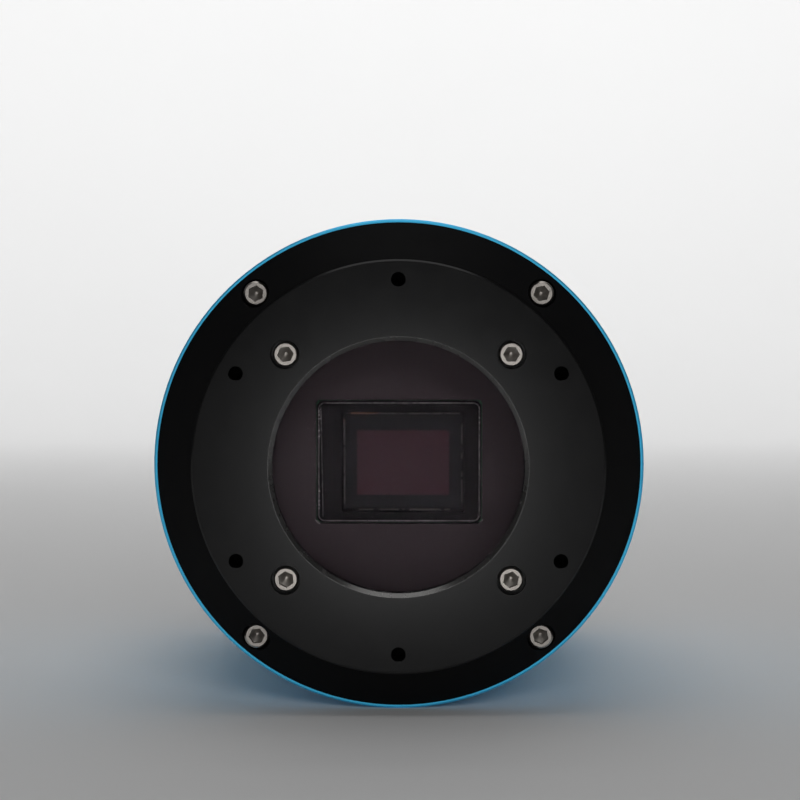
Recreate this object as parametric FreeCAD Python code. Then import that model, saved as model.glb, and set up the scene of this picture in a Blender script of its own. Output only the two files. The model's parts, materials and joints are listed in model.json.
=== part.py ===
import FreeCAD, Part
import math
import os

# Cooled astronomy camera, in millimetres.
# The optical axis is Y: the camera looks towards -Y, +Z is up and Y = 0 is the adapter flange's face.

V = FreeCAD.Vector

# Body
BODY_R = 45.0             # outer radius of the blue tube
LIP_R = 44.4              # rebate at each end of the tube, which takes a cover
TUBE_R = 42.5             # inner radius of the tube
RIM_Y = 8.0               # front edge of the tube
LEDGE_Y = 11.0            # floor of the front rebate
REAR_LEDGE_Y = 92.0       # floor of the rear rebate
TUBE_END_Y = 95.0         # rear edge of the tube
BACK_Y = 97.5             # outer face of the rear cover
COVER_GAP = 0.06          # radial gap between a cover and its rebate

# Adapter flange and optical opening
FLANGE_R = 37.25
FLANGE_BACK_Y = 7.5
MOUTH_R = 23.4            # opening at the face, before its chamfer
OPENING_R = 22.7          # opening behind the chamfer
CHAMFER_Y = 0.7
SEAT_Y = 3.2              # back of the opening's wall, where the window seats
WINDOW_SEAT_R = 25.1
COLLAR_R = 26.6
COLLAR_END_Y = 14.4
TAPPED_PCD = 67.3         # circle of the six tapped holes for an adapter
TAPPED_R = 1.25           # M3 tapping size
TAPPED_DEPTH = 6.0
TAPPED_RIM = 0.1          # chamfer at their mouths
DRILL_POINT = 0.6         # height of a drilled hole's cone, over its radius
BEVEL_Y = 1.2             # where the bevelled ring starts, behind the flange face

# Socket-head cap screws, M2.5
CAP_SIZE = 2.5
CAP_HEAD_R = 2.25
CAP_FLATS = 2.6           # hexagon socket, across its flats
HEAD_CHAMFER = 0.14       # of the radius of the head
COUNTERBORE_R = 2.65
CLEARANCE_R = 1.35
THREAD_R = 1.22
TAP_R = 1.25
FLANGE_SCREW_XZ = 20.25   # the flange screws stand on a square of twice this
FLANGE_SCREW_Y = 1.0      # face of their heads
COVER_SCREW_R = 40.7      # circle of the cover screws, front and rear
COVER_SCREW_ANGLE = 39.7  # from the vertical, at the front
COVER_SCREW_Y = 6.0
REAR_SCREW_Y = 96.3
CAP_LENGTH = 8.0

# Window
WINDOW_R = 24.9
WINDOW_Y = 3.4
WINDOW_T = 2.0
HEATER_T = 0.2

# Chamber
CHAMBER_R = 26.8          # inside, round the flange collar
CHAMBER_INNER_R = 25.2    # inside, behind the ledge that carries the mask
CHAMBER_NECK_R = 31.0
CHAMBER_FOOT_R = 38.5
CHAMBER_FOOT_Y = 38.5
SINK_Y = 42.0             # front face of the heat sink's base
FLAT_Z = -31.2            # flat on the foot and on the heat sink, which lets the ribbon past
HOUSING_SCREW_XZ = 24.5

# Sensor stack
SENSOR_Y = 17.5           # light-sensitive surface
MASK_Y = 16.3
MASK_T = 1.2
PACKAGE_W = 30.8
PACKAGE_H = 22.8
PACKAGE_Y = 16.0
PACKAGE_BACK_Y = 18.9
GLASS_W = 30.4
GLASS_H = 22.4
GLASS_Y = 15.3
CAVITY_W = 23.0
CAVITY_H = 19.0
DIE_W = 22.2
DIE_H = 18.2
DIE_X = 0.75              # the die stands off the package's centre
BOARD_R = 24.5
BOARD_T = 1.6
SPACER_X = 18.0
SPACER_Z = 14.0

# Cooler stack
FINGER_W = 20.0
FINGER_Y = 22.5
COLD_Y = 34.0
STAGE_W = 30.0
PLATE_T = 0.8
UPPER_PELLET_H = 1.8
LOWER_PELLET_H = 2.0
COLD_END_Y = COLD_Y + PLATE_T
MIDDLE_Y = COLD_END_Y + UPPER_PELLET_H
MIDDLE_END_Y = MIDDLE_Y + PLATE_T
HOT_Y = MIDDLE_END_Y + LOWER_PELLET_H
PAD_Y = HOT_Y + PLATE_T

# Heat sink
SINK_R = 42.2
SINK_BASE_T = 5.0
FIN_END_Y = 75.0
FIN_PITCH = 4.0
FIN_T = 1.4
FIN_COUNT = 19
FIN_R = 40.5
FIN_BOTTOM_Z = -19.0

# Main board, which lies flat below the heat sink
BOARD_TOP_Z = -33.0
BOARD_X = 22.0
BOARD_Y0 = 48.5
BOARD_Y1 = 91.5
BOARD_SCREW_X = 18.0
BOARD_SCREW_Y = (52.0, 80.0)
RIBBON_Z = -32.4
RIBBON_HALF_W = 8.0
LEAD_X = 11.0

# Fan
FAN_Z = 8.0
FAN_W = 50.0
FAN_Y0 = 76.8
FAN_Y1 = 91.8
DUCT_R = 23.8
BLADE_R = 23.2
HUB_R = 11.5
FAN_HOLE = 20.0
BLADE_COUNT = 7
SHAFT_R = 1.0
GUARD_Y = 94.6
GUARD_T = 0.9
GUARD_R = 25.4

# Sockets in the rear cover
SOCKET_END_Y = 97.3
POWER_X = -17.5
POWER_Z = -27.5
USB3_X = -5.0
LED_X = 3.2
LED_Z = -30.5
LED_R = 0.9
HUB_XS = (8.4, 17.0)
SOCKET_GAP = 0.25


def turned(profile):
    """Solid turned about the optical axis from (radius, depth) corners."""
    corners = [V(r, y, 0) for r, y in profile]
    face = Part.Face(Part.makePolygon(corners + corners[:1]))
    return face.revolve(V(0, 0, 0), V(0, 1, 0), 360)


def rod(r, y0, y1, x=0.0, z=0.0):
    return Part.makeCylinder(r, y1 - y0, V(x, y0, z), V(0, 1, 0))


def tube(r_out, r_in, y0, y1, x=0.0, z=0.0):
    return rod(r_out, y0, y1, x, z).cut(rod(r_in, y0 - 1, y1 + 1, x, z))


def block(x, y, z):
    """Box from (low, high) pairs along each axis."""
    return Part.makeBox(x[1] - x[0], y[1] - y[0], z[1] - z[0], V(x[0], y[0], z[0]))


def slab(width, height, y0, y1, corner=0.0, x=0.0, z=0.0):
    """Rectangle across the axis, width along X and height along Z, with rounded corners."""
    body = block((x - width / 2, x + width / 2), (y0, y1), (z - height / 2, z + height / 2))
    if corner == 0:
        return body
    edges = [e for e in body.Edges if abs(e.tangentAt(e.FirstParameter).y) > 0.9]
    return body.makeFillet(corner, edges)


def ring_seal(major, minor, y):
    return Part.makeTorus(major, minor, V(0, y, 0), V(0, 1, 0))


def corners(x, z):
    return [(sx * x, sz * z) for sx in (1, -1) for sz in (1, -1)]


def front_screw_places():
    angle = math.radians(COVER_SCREW_ANGLE)
    return corners(COVER_SCREW_R * math.sin(angle), COVER_SCREW_R * math.cos(angle))


def rear_screw_places():
    side = COVER_SCREW_R * math.sqrt(0.5)
    return corners(side, side)


def hexagon(across_flats, depth, turn=0.0):
    """Hexagonal prism below the origin, for a screw's socket."""
    r = across_flats / math.sqrt(3)
    angles = [math.radians(60 * i + turn) for i in range(7)]
    outline = Part.makePolygon([V(r * math.cos(a), r * math.sin(a), 0) for a in angles])
    return Part.Face(outline).extrude(V(0, 0, -depth))


def screw(thread_r, length, head_r, head_h, flats, turn=0.0):
    """Socket-head screw that stands on -Z, face of its head at the origin. Its socket ends in a cone."""
    head = Part.makeCylinder(head_r, head_h, V(0, 0, -head_h))
    top = [e for e in head.Edges if abs(e.BoundBox.ZMax) < 1e-6 and abs(e.BoundBox.ZMin) < 1e-6]
    head = head.makeChamfer(HEAD_CHAMFER * head_r, top)
    depth = 0.5 * head_h
    floor_r = 1.05 * flats / math.sqrt(3)
    drill_point = Part.makeCone(floor_r, 0, DRILL_POINT * floor_r, V(0, 0, -depth), V(0, 0, -1))
    socket = hexagon(flats, depth, turn).fuse(hexagon(flats, head_h, turn).common(drill_point))
    head = head.cut(socket)
    shank = Part.makeCylinder(thread_r, length, V(0, 0, -head_h - length))
    return head.fuse(shank).removeSplitter()


def placed(shape, position, outward):
    """Copy of a shape made about +Z, turned to face outward."""
    copy = shape.copy()
    copy.Placement = FreeCAD.Placement(V(*position), FreeCAD.Rotation(V(0, 0, 1), V(*outward)))
    return copy


def cap_screws(places, y, outward, turns):
    screws = []
    for (x, z), turn in zip(places, turns):
        one = screw(THREAD_R, CAP_LENGTH, CAP_HEAD_R, CAP_SIZE, CAP_FLATS, turn)
        screws.append(placed(one, (x, y, z), outward))
    return Part.makeCompound(screws)


def path_wire(points, bend):
    """Straight runs joined by tangent arcs of one radius."""
    points = [V(*p) for p in points]
    edges = []
    start = points[0]
    for before, corner, after in zip(points, points[1:], points[2:]):
        d1 = (corner - before).normalize()
        d2 = (after - corner).normalize()
        half = d1.getAngle(d2) / 2
        reach = bend * math.tan(half)
        enter = corner - d1 * reach
        leave = corner + d2 * reach
        inward = (d2 - d1).normalize()
        middle = corner + inward * (bend / math.cos(half) - bend)
        edges.append(Part.LineSegment(start, enter).toShape())
        edges.append(Part.Arc(enter, middle, leave).toShape())
        start = leave
    edges.append(Part.LineSegment(start, points[-1]).toShape())
    return Part.Wire(edges)


def swept(profile, points, bend):
    return path_wire(points, bend).makePipeShell([profile], True, False)


def lead(points, r, bend):
    """Round wire along a route."""
    direction = V(*points[1]) - V(*points[0])
    circle = Part.Circle(V(*points[0]), direction, r).toShape()
    return swept(Part.Wire([circle]), points, bend)


# Front

def front_flange():
    """Plate with a collar behind it, which seats the window."""
    body = turned([
        (OPENING_R, CHAMFER_Y), (MOUTH_R, 0), (FLANGE_R - 0.35, 0), (FLANGE_R, 0.35),
        (FLANGE_R, FLANGE_BACK_Y), (COLLAR_R, FLANGE_BACK_Y), (COLLAR_R, COLLAR_END_Y),
        (WINDOW_SEAT_R, COLLAR_END_Y), (WINDOW_SEAT_R, SEAT_Y), (OPENING_R, SEAT_Y),
    ])
    cuts = [
        tube(COLLAR_R + 1, COLLAR_R - 0.8, 8.3, 9.5),
        tube(24.45, 23.35, SEAT_Y - 0.8, SEAT_Y + 0.01),
    ]
    for i in range(6):
        angle = math.radians(60 * i + 30)
        x = TAPPED_PCD / 2 * math.cos(angle)
        z = TAPPED_PCD / 2 * math.sin(angle)
        cuts.append(rod(TAPPED_R, -1, TAPPED_DEPTH, x, z))
        cuts.append(Part.makeCone(TAPPED_R, 0, DRILL_POINT * TAPPED_R, V(x, TAPPED_DEPTH, z), V(0, 1, 0)))
        cuts.append(Part.makeCone(TAPPED_R + TAPPED_RIM, TAPPED_R, TAPPED_RIM, V(x, 0, z), V(0, 1, 0)))
    for x, z in corners(FLANGE_SCREW_XZ, FLANGE_SCREW_XZ):
        cuts.append(rod(COUNTERBORE_R, -1, FLANGE_SCREW_Y + CAP_SIZE, x, z))
        cuts.append(rod(CLEARANCE_R, 0, FLANGE_BACK_Y + 1, x, z))
    return body.cut(cuts)


def front_cover():
    """Bevelled ring between the flange and the tube's rim, with a lip clamped under the flange."""
    inner = FLANGE_R + 0.1
    outer = LIP_R - COVER_GAP
    body = turned([
        (inner, BEVEL_Y), (outer, RIM_Y), (outer, LEDGE_Y), (34.0, LEDGE_Y),
        (34.0, FLANGE_BACK_Y + 0.05), (inner, FLANGE_BACK_Y + 0.05),
    ])
    cuts = []
    for x, z in front_screw_places():
        cuts.append(rod(COUNTERBORE_R, 0, COVER_SCREW_Y + CAP_SIZE, x, z))
        cuts.append(rod(CLEARANCE_R, 0, LEDGE_Y + 1, x, z))
    return body.cut(cuts)


def tube_bosses():
    """Screw bosses inside the tube: four at each end and four under the main board."""
    bosses = []
    for x, z in front_screw_places():
        bosses.append(rod(3.0, LEDGE_Y, 19.5, x, z))
    for x, z in rear_screw_places():
        bosses.append(rod(3.0, 83.5, REAR_LEDGE_Y, x, z))
    for x in (-BOARD_SCREW_X, BOARD_SCREW_X):
        for y in BOARD_SCREW_Y:
            post = Part.makeCylinder(2.8, 9.0, V(x, y, BOARD_TOP_Z - BOARD_T - 9.0))
            bosses.append(post.common(rod(TUBE_R + 1, 0, 100)))
    return bosses


def tube_cuts():
    """Tapped holes of the bosses, and the air slots over the fins."""
    cuts = []
    for x, z in front_screw_places():
        cuts.append(rod(TAP_R, 10, 18, x, z))
    for x, z in rear_screw_places():
        cuts.append(rod(TAP_R, 85, 93, x, z))
    for x in (-BOARD_SCREW_X, BOARD_SCREW_X):
        for y in BOARD_SCREW_Y:
            cuts.append(Part.makeCylinder(1.05, 5.0, V(x, y, BOARD_TOP_Z - BOARD_T - 4.9)))
    for i in range(15):
        slot = slab(3.0, 12.0, 51.0, 72.0).fuse(Part.makeCylinder(1.5, 12, V(0, 51, -6)))
        slot = slot.fuse(Part.makeCylinder(1.5, 12, V(0, 72, -6)))
        slot.translate(V(0, 0, BODY_R))
        slot.rotate(V(0, 0, 0), V(0, 1, 0), -105 + 15 * i)
        cuts.append(slot)
    return cuts


def body_shell():
    """Anodised tube with a rebate at each end."""
    body = turned([
        (LIP_R, RIM_Y), (BODY_R - 0.3, RIM_Y), (BODY_R, RIM_Y + 0.3), (BODY_R, TUBE_END_Y - 0.3),
        (BODY_R - 0.3, TUBE_END_Y), (LIP_R, TUBE_END_Y), (LIP_R, REAR_LEDGE_Y),
        (TUBE_R, REAR_LEDGE_Y), (TUBE_R, LEDGE_Y), (LIP_R, LEDGE_Y),
    ])
    return body.fuse(tube_bosses()).removeSplitter().cut(tube_cuts())


# Window

def window_retainer():
    """Threaded ring that holds the window, with two slots for a spanner."""
    start = WINDOW_Y + WINDOW_T + HEATER_T + 0.05
    ring = tube(WINDOW_SEAT_R - 0.05, 23.9, start, start + 2.0)
    slots = slab(60, 1.6, start + 1.1, start + 3)
    return ring.cut(slots)


# Chamber

def chamber_housing():
    """Sealed housing from the flange to the heat sink, round the sensor and the cooler."""
    body = turned([
        (CHAMBER_R, FLANGE_BACK_Y), (33.8, FLANGE_BACK_Y), (33.8, LEDGE_Y + 0.05),
        (36.5, LEDGE_Y + 0.05), (36.5, 14.5), (CHAMBER_NECK_R, 14.5),
        (CHAMBER_NECK_R, CHAMBER_FOOT_Y), (CHAMBER_FOOT_R, CHAMBER_FOOT_Y),
        (CHAMBER_FOOT_R, SINK_Y), (CHAMBER_INNER_R, SINK_Y), (CHAMBER_INNER_R, SENSOR_Y),
        (CHAMBER_R, SENSOR_Y),
    ])
    cuts = [
        block((-50, 50), (CHAMBER_FOOT_Y - 1, SINK_Y + 1), (-50, FLAT_Z)),
        tube(28.7, 27.5, SINK_Y - 0.9, SINK_Y + 1),
        block((-RIBBON_HALF_W - 0.4, RIBBON_HALF_W + 0.4), (29.5, 30.5), (-33, -20)),
    ]
    for x, z in corners(FLANGE_SCREW_XZ, FLANGE_SCREW_XZ):
        cuts.append(rod(TAP_R, 7, 14.2, x, z))
    for x, z in corners(HOUSING_SCREW_XZ, HOUSING_SCREW_XZ):
        cuts.append(rod(1.6, 38, 43, x, z))
    for x in (-LEAD_X, LEAD_X):
        cuts.append(Part.makeCylinder(0.75, 13, V(x, 36, -33)))
    return body.cut(cuts)


def housing_screws():
    one = screw(1.46, 7.5, 2.75, 3.0, 2.5)
    places = corners(HOUSING_SCREW_XZ, HOUSING_SCREW_XZ)
    return Part.makeCompound([placed(one, (x, CHAMBER_FOOT_Y - 3.0, z), (0, -1, 0)) for x, z in places])


def sensor_mask():
    """Plate round the sensor, which hides the board behind it."""
    plate = rod(COLLAR_R, MASK_Y, MASK_Y + MASK_T)
    cuts = [slab(PACKAGE_W + 0.6, PACKAGE_H + 0.6, 16, 18, 0.9)]
    cuts += [rod(0.95, MASK_Y + 0.4, 18, x, z) for x, z in corners(SPACER_X, SPACER_Z)]
    return plate.cut(cuts)


def mask_spacers():
    places = corners(SPACER_X, SPACER_Z)
    return Part.makeCompound([tube(1.9, 1.1, SENSOR_Y, PACKAGE_BACK_Y, x, z) for x, z in places])


def sensor_package():
    """Ceramic tray with a cavity for the die."""
    tray = slab(PACKAGE_W, PACKAGE_H, PACKAGE_Y, PACKAGE_BACK_Y, 1.0)
    cavity = slab(CAVITY_W, CAVITY_H, PACKAGE_Y - 1, SENSOR_Y, 0.4, DIE_X)
    pocket = slab(DIE_W + 0.4, DIE_H + 0.4, PACKAGE_Y, SENSOR_Y + 0.5, 0.3, DIE_X)
    return tray.cut([cavity, pocket])


def sensor_board():
    """Round board with an opening for the cold finger."""
    board = rod(BOARD_R, PACKAGE_BACK_Y, PACKAGE_BACK_Y + BOARD_T)
    cuts = [slab(18.4, 12.4, 18, 22, 0.5)]
    cuts += [rod(1.1, 18, 22, x, z) for x, z in corners(SPACER_X, SPACER_Z)]
    return board.cut(cuts)


def sensor_board_screws():
    one = screw(0.92, 3.2, 1.9, 1.3, 1.3)
    y = PACKAGE_BACK_Y + BOARD_T + 1.3
    places = corners(SPACER_X, SPACER_Z)
    return Part.makeCompound([placed(one, (x, y, z), (0, 1, 0)) for x, z in places])


def sensor_board_connector():
    body = block((-9.2, 9.2), (20.55, 23.0), (-20.6, -17.6))
    slot = block((-RIBBON_HALF_W - 0.1, RIBBON_HALF_W + 0.1), (21.6, 22.0), (-21, -19.4))
    return body.cut(slot)


def sensor_ribbon():
    """Flat cable from the sensor board, through the housing, to the main board."""
    route = [(0, 21.8, -19.6), (0, 21.8, -22.9), (0, 30.0, -22.9), (0, 30.0, RIBBON_Z), (0, 51.0, RIBBON_Z)]
    half_t = 0.12
    section = [
        V(-RIBBON_HALF_W, 21.8 - half_t, -19.6), V(RIBBON_HALF_W, 21.8 - half_t, -19.6),
        V(RIBBON_HALF_W, 21.8 + half_t, -19.6), V(-RIBBON_HALF_W, 21.8 + half_t, -19.6),
    ]
    return swept(Part.makePolygon(section + section[:1]), route, 1.0)


# Cooler

def cold_finger():
    """Copper block from the sensor's back to the cooler."""
    nose = slab(17.6, 11.6, PACKAGE_BACK_Y + 0.05, FINGER_Y, 0.4)
    return nose.fuse(slab(FINGER_W, FINGER_W, FINGER_Y - 0.01, COLD_Y, 0.5))


def pellets(count, width, side, y0, y1):
    """Square grid of semiconductor legs."""
    pitch = width / count
    first = -width / 2 + pitch / 2
    places = [first + pitch * i for i in range(count)]
    return Part.makeCompound([slab(side, side, y0, y1, 0, x, z) for x in places for z in places])


def cooler_leads():
    leads = []
    for x in (-LEAD_X, LEAD_X):
        route = [
            (x, HOT_Y + 0.4, -15.1), (x, HOT_Y + 0.4, -18.6),
            (x, 36.0, -21.0), (x, 36.0, -32.1), (x, 54.0, -32.1),
        ]
        leads.append(lead(route, 0.5, 1.2))
    return Part.makeCompound(leads)


def insulation_ring():
    foam = rod(20.5, 23.2, 33.6).cut(slab(FINGER_W + 0.4, FINGER_W + 0.4, 23, 34, 0.5))
    return foam.cut(block((-1.3, 1.3), (25.7, 34), (9, 11.8)))


def desiccant_packs():
    ring = tube(24.7, 21.0, 24.0, 33.0)
    wedge = block((0, 30), (23, 34), (-13, 13))
    right = ring.common(wedge)
    left = right.mirror(V(0, 0, 0), V(1, 0, 0))
    return Part.makeCompound([right, left])


def heat_sink():
    """Finned heat sink with a raised pad for the cooler and a flat at the bottom."""
    base_end = SINK_Y + SINK_BASE_T
    base = rod(SINK_R, SINK_Y, base_end).cut(block((-50, 50), (41, 48), (-50, FLAT_Z)))
    pad = slab(STAGE_W, STAGE_W, PAD_Y, SINK_Y + 0.01)
    fins = []
    for i in range(FIN_COUNT):
        x = FIN_PITCH * (i - (FIN_COUNT - 1) / 2)
        top = math.sqrt(FIN_R ** 2 - x ** 2)
        fins.append(block((x - FIN_T / 2, x + FIN_T / 2), (base_end - 0.01, FIN_END_Y), (FIN_BOTTOM_Z, top)))
    body = base.fuse([pad] + fins)
    holes = [rod(1.5, 41, 46.5, x, z) for x, z in corners(HOUSING_SCREW_XZ, HOUSING_SCREW_XZ)]
    return body.cut(holes)


# Main board and sockets

def main_board():
    board = block((-BOARD_X, BOARD_X), (BOARD_Y0, BOARD_Y1), (BOARD_TOP_Z - BOARD_T, BOARD_TOP_Z))
    holes = []
    for x in (-BOARD_SCREW_X, BOARD_SCREW_X):
        for y in BOARD_SCREW_Y:
            holes.append(Part.makeCylinder(1.2, 4, V(x, y, BOARD_TOP_Z - 3)))
    return board.cut(holes)


def board_screws():
    one = screw(1.0, 5.5, 1.9, 1.4, 1.3)
    screws = []
    for x in (-BOARD_SCREW_X, BOARD_SCREW_X):
        for y in BOARD_SCREW_Y:
            screws.append(placed(one, (x, y, BOARD_TOP_Z + 1.4), (0, 0, 1)))
    return Part.makeCompound(screws)


def on_board(x, y, height):
    """Box that stands on the main board."""
    return block(x, y, (BOARD_TOP_Z, BOARD_TOP_Z + height))


def board_connectors():
    """Ribbon connector, one connector for each cooler lead and one for the fan."""
    slot = block((-RIBBON_HALF_W - 0.1, RIBBON_HALF_W + 0.1), (49, 51.2), (RIBBON_Z - 0.2, RIBBON_Z + 0.2))
    parts = [on_board((-9.2, 9.2), (49.4, 53.6), 1.7).cut(slot)]
    for x in (-LEAD_X, LEAD_X):
        parts.append(on_board((x - 1.7, x + 1.7), (54.05, 58), 2.6))
    parts.append(on_board((-14.5, -9.5), (71, 74.5), 3.5))
    return Part.makeCompound(parts)


def usb3_socket():
    """Square host socket: a folded steel shell with sloped upper corners inside."""
    z0 = BOARD_TOP_Z
    shell = block((USB3_X - 6.05, USB3_X + 6.05), (80.5, SOCKET_END_Y), (z0, z0 + 10.5))
    half = 5.55
    outline = [
        V(-half, 0, 0.45), V(half, 0, 0.45), V(half, 0, 7.0), V(half - 2.4, 0, 10.05),
        V(-half + 2.4, 0, 10.05), V(-half, 0, 7.0),
    ]
    cavity = Part.Face(Part.makePolygon(outline + outline[:1])).extrude(V(0, 11, 0))
    cavity.translate(V(USB3_X, SOCKET_END_Y - 10.8, z0))
    return shell.cut(cavity)


def usb3_tongue():
    back = SOCKET_END_Y - 10.8
    lower = block((USB3_X - 2.9, USB3_X + 2.9), (back, 96.0), (BOARD_TOP_Z + 2.2, BOARD_TOP_Z + 5.4))
    upper = block((USB3_X - 2.9, USB3_X + 2.9), (back, 95.4), (BOARD_TOP_Z + 7.9, BOARD_TOP_Z + 9.0))
    return Part.makeCompound([lower, upper])


def usb_hub_sockets():
    sockets = []
    for x in HUB_XS:
        shell = block((x - 3.05, x + 3.05), (83.3, SOCKET_END_Y), (BOARD_TOP_Z, BOARD_TOP_Z + 13.4))
        cavity = block((x - 2.65, x + 2.65), (86.0, 98), (BOARD_TOP_Z + 0.45, BOARD_TOP_Z + 12.95))
        sockets.append(shell.cut(cavity))
    return Part.makeCompound(sockets)


def usb_hub_tongues():
    tongues = []
    for x in HUB_XS:
        tongues.append(block((x - 2.1, x - 0.3), (86.0, 95.8), (BOARD_TOP_Z + 1.2, BOARD_TOP_Z + 12.2)))
    return Part.makeCompound(tongues)


def power_socket():
    body = block((POWER_X - 4.5, POWER_X + 4.5), (83.3, SOCKET_END_Y), (BOARD_TOP_Z, BOARD_TOP_Z + 11))
    return body.cut(rod(2.85, 87.5, 98, POWER_X, POWER_Z))


def status_led():
    foot = on_board((LED_X - 1.3, LED_X + 1.3), (86, 90), 4.0)
    return foot.fuse(rod(LED_R, 89, SOCKET_END_Y, LED_X, LED_Z))


# Fan

def fan_frame():
    """Square frame with a round duct, four struts and the motor's seat."""
    body = slab(FAN_W, FAN_W, FAN_Y0, FAN_Y1, 3.0, 0, FAN_Z).cut(rod(DUCT_R, 70, 95, 0, FAN_Z))
    strut = block((-26, 26), (89.8, FAN_Y1), (FAN_Z - 1.1, FAN_Z + 1.1))
    other = block((-1.1, 1.1), (89.8, FAN_Y1), (FAN_Z - 26, FAN_Z + 26))
    struts = strut.fuse(other).common(rod(DUCT_R + 0.5, 80, 95, 0, FAN_Z))
    seat = rod(9.8, 89.8, FAN_Y1, 0, FAN_Z)
    sleeve = rod(3.6, 80.5, FAN_Y1, 0, FAN_Z)
    body = body.fuse([struts, seat, sleeve])
    holes = [rod(2.15, 70, 95, x, z + FAN_Z) for x, z in corners(FAN_HOLE, FAN_HOLE)]
    sides = []
    for x, z in corners(1, 1):
        notch = block((0, 9), (FAN_Y0 + 3, FAN_Y1 - 3), (0, 9))
        notch.translate(V(-4.5 + x * 25.2, 0, -4.5 + z * 25.2 + FAN_Z))
        sides.append(notch)
    return body.cut(holes + [rod(2.9, 70, 91.0, 0, FAN_Z)]).cut(sides)


def fan_stator_core():
    """Four-pole laminated core on the bearing sleeve."""
    y0, y1 = 81.6, 85.6
    core = tube(4.7, 3.62, y0, y1)
    arms = block((-7.6, 7.6), (y0, y1), (-0.9, 0.9)).fuse(block((-0.9, 0.9), (y0, y1), (-7.6, 7.6)))
    tips = tube(8.4, 7.3, y0, y1)
    gaps = [block((-9, 9), (y0 - 1, y1 + 1), (-1.2, 1.2)) for _ in range(2)]
    for gap, angle in zip(gaps, (45, -45)):
        gap.rotate(V(0, 0, 0), V(0, 1, 0), angle)
    core = core.fuse([arms.cut(rod(4.0, 80, 90)), tips.cut(gaps)])
    core.translate(V(0, 0, FAN_Z))
    return core


def fan_coils():
    """One winding round each pole."""
    coils = []
    for i in range(4):
        coil = block((4.95, 6.95), (80.6, 86.6), (-2.0, 2.0))
        coil = coil.cut(block((4, 8), (81.5, 85.7), (-1.0, 1.0)))
        coil.rotate(V(0, 0, 0), V(0, 1, 0), 90 * i)
        coil.translate(V(0, 0, FAN_Z))
        coils.append(coil)
    return Part.makeCompound(coils)


def blade_section(r, chord, pitch_angle, thickness, lead_angle):
    """Section of a blade at one radius: a slanted rectangle across the radius."""
    a = math.radians(pitch_angle)
    along = V(math.cos(a), math.sin(a), 0)
    across = V(-math.sin(a), math.cos(a), 0)
    middle = V(0, 82.8, r)
    signs = ((-1, -1), (1, -1), (1, 1), (-1, 1))
    points = [middle + along * (s * chord / 2) + across * (t * thickness / 2) for s, t in signs]
    wire = Part.makePolygon(points + points[:1])
    wire.rotate(V(0, 0, 0), V(0, 1, 0), lead_angle)
    return wire


def fan_impeller():
    """Cup-shaped hub with slanted blades."""
    hub = turned([
        (SHAFT_R, 77.3), (HUB_R - 1.0, 77.3), (HUB_R, 78.3), (HUB_R, 88.6), (HUB_R - 1.5, 88.6),
        (HUB_R - 1.5, 78.8), (2.5, 78.8), (2.5, 80.0), (SHAFT_R, 80.0),
    ])
    sections = [
        blade_section(HUB_R - 0.6, 10.5, 50, 1.3, 0),
        blade_section(17.5, 12.5, 39, 1.1, 5),
        blade_section(BLADE_R + 2, 14.5, 31, 0.9, 12),
    ]
    blade = Part.makeLoft(sections, True, True).common(tube(BLADE_R, HUB_R - 0.5, 77.5, 88.4))
    blades = []
    for i in range(BLADE_COUNT):
        one = blade.copy()
        one.rotate(V(0, 0, 0), V(0, 1, 0), 360 / BLADE_COUNT * i)
        blades.append(one)
    rotor = hub.fuse(blades)
    rotor.translate(V(0, 0, FAN_Z))
    return rotor


def fan_guard():
    """Flat guard: rings and two diagonal bars that end in the screw ears."""
    y1 = GUARD_Y + GUARD_T
    pieces = [tube(GUARD_R, GUARD_R - 1.5, GUARD_Y, y1), rod(4.0, GUARD_Y, y1)]
    pieces += [tube(r + 0.5, r - 0.5, GUARD_Y, y1) for r in (9.0, 14.0, 19.0)]
    for angle in (45, -45):
        bar = slab(2 * FAN_HOLE * math.sqrt(2), 1.5, GUARD_Y, y1)
        bar.rotate(V(0, 0, 0), V(0, 1, 0), angle)
        pieces.append(bar)
    pieces += [rod(3.4, GUARD_Y, y1, x, z) for x, z in corners(FAN_HOLE, FAN_HOLE)]
    guard = pieces[0].fuse(pieces[1:])
    guard = guard.cut([rod(2.2, 90, 99, x, z) for x, z in corners(FAN_HOLE, FAN_HOLE)])
    guard.translate(V(0, 0, FAN_Z))
    return guard


def fan_screws():
    one = screw(2.0, 12.0, 3.4, 1.8, 2.5)
    y = GUARD_Y + GUARD_T + 1.8
    places = corners(FAN_HOLE, FAN_HOLE)
    return Part.makeCompound([placed(one, (x, y, z + FAN_Z), (0, 1, 0)) for x, z in places])


def fan_lead():
    """Fan cable from the frame's lower edge to its connector."""
    return lead([(-12, 79.6, -17.1), (-12, 79.6, -22.5), (-12, 72.8, -25.0), (-12, 72.8, -29.5)], 0.8, 2.0)


# Rear

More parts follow.
